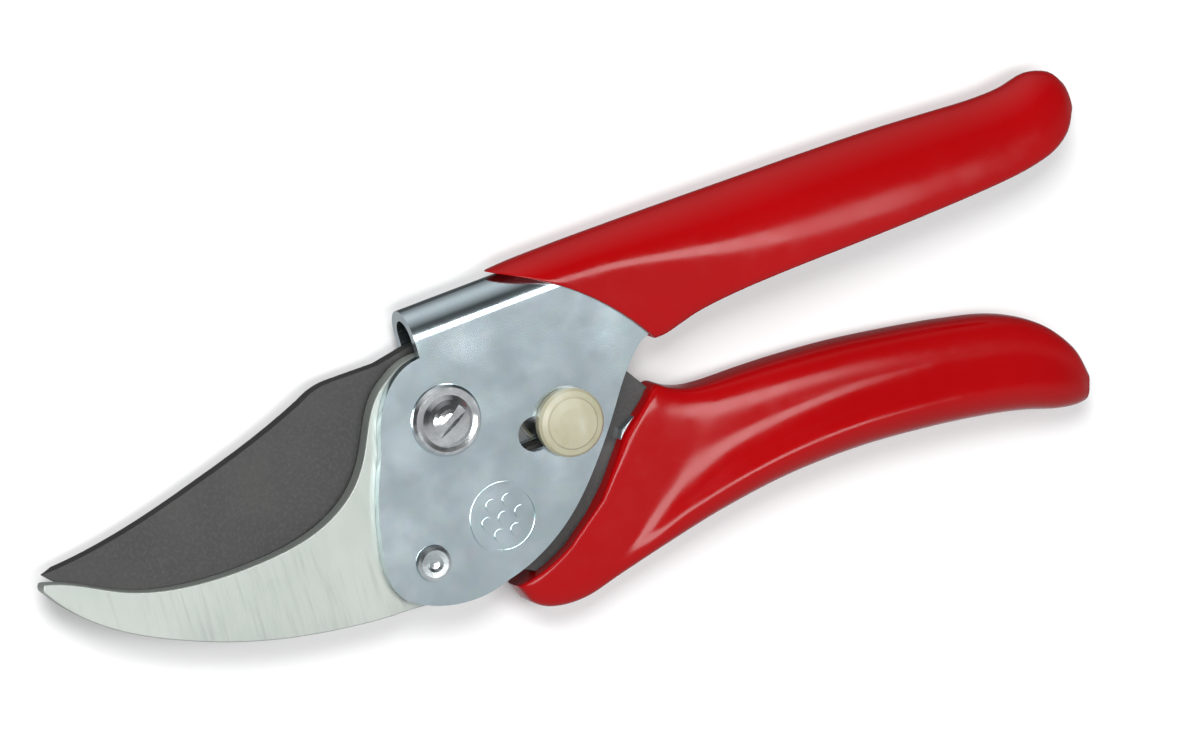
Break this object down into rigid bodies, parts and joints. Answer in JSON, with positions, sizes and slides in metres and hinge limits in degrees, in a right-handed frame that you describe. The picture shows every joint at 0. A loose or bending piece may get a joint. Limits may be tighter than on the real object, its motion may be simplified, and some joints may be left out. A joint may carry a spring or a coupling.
{
  "type": "bypass pruner",
  "caption": "Hand pruner with a hooked lower jaw, a curved bypass blade, dipped vinyl handles and a sliding thumb catch.",
  "frame": {"origin": "on the pivot axis, at the flat bottom face of the pivot nut, which is the plane that the pruner lies on", "axes": "+X towards the handles, +Y towards the back of the upper handle, +Z out of the front side plate"},
  "size_m": [0.2199, 0.0664, 0.018],
  "materials": {
    "zinc_plate": "bright zinc plating with a faint blue cast",
    "hook_steel": "satin ground steel",
    "blade_coating": "dark grey low-friction coating",
    "red_vinyl": "glossy dipped vinyl",
    "chrome": "polished nickel plating",
    "rivet_steel": "bright zinc plating",
    "spring_steel": "drawn spring wire",
    "bronze": "oiled sintered bronze",
    "catch_plastic": "moulded ivory plastic"
  },
  "bodies": {
    "frame": {"frame_pressing": "zinc_plate", "upper_grip": "red_vinyl", "hook": "hook_steel", "hook_rivet": "rivet_steel", "rivet_spacer": "rivet_steel", "pivot_bolt": "chrome", "pivot_washer": "chrome", "pivot_nut": "chrome", "nut_washer": "rivet_steel", "spring_seat": "rivet_steel", "return_spring": "spring_steel"},
    "blade_arm": {"blade": "blade_coating", "pivot_bush": "bronze", "lower_handle_pressing": "zinc_plate", "lower_grip": "red_vinyl", "tang_rivets": "rivet_steel"},
    "catch": {"catch_button": "catch_plastic", "catch_pin": "rivet_steel", "catch_back_button": "catch_plastic", "catch_washer": "spring_steel"}
  },
  "joints": [
    {"name": "pivot", "type": "hinge", "parent": "frame", "child": "blade_arm", "pos_m": [0, 0, 0.0072], "axis": [0, 0, -1], "range_deg": [0, 32], "deforming": ["return_spring"]},
    {"name": "catch_slide", "type": "slide", "parent": "frame", "child": "catch", "axis": [-1, 0, 0], "range_m": [0, 0.0069]}
  ]
}
